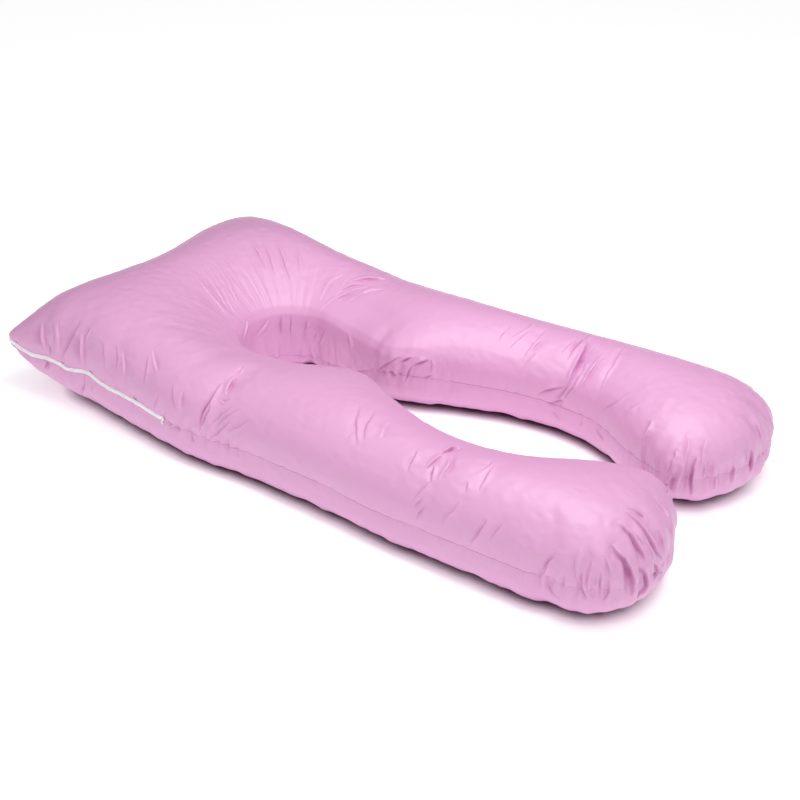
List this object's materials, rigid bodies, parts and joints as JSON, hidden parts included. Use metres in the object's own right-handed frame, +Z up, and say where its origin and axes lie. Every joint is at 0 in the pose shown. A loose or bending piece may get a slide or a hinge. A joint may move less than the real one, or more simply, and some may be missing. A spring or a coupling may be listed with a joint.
{
  "type": "body pillow",
  "caption": "U-shaped filled body pillow with a squared head, long round-ended legs, a pinched channel between them and a zip in its side seam.",
  "frame": {"origin": "middle of the pillow's footprint, on the plane it lies on", "axes": "+Y from the toes to the head, +Z up through the pillow's thickness, -X to the side with the zip"},
  "size_m": [0.7164, 1.343, 0.2176],
  "materials": {
    "case": "thin silky taffeta with a soft sheen",
    "zip": "white nylon coil"
  },
  "bodies": {
    "root": {"pillow": "case", "zip": "zip"}
  },
  "joints": []
}
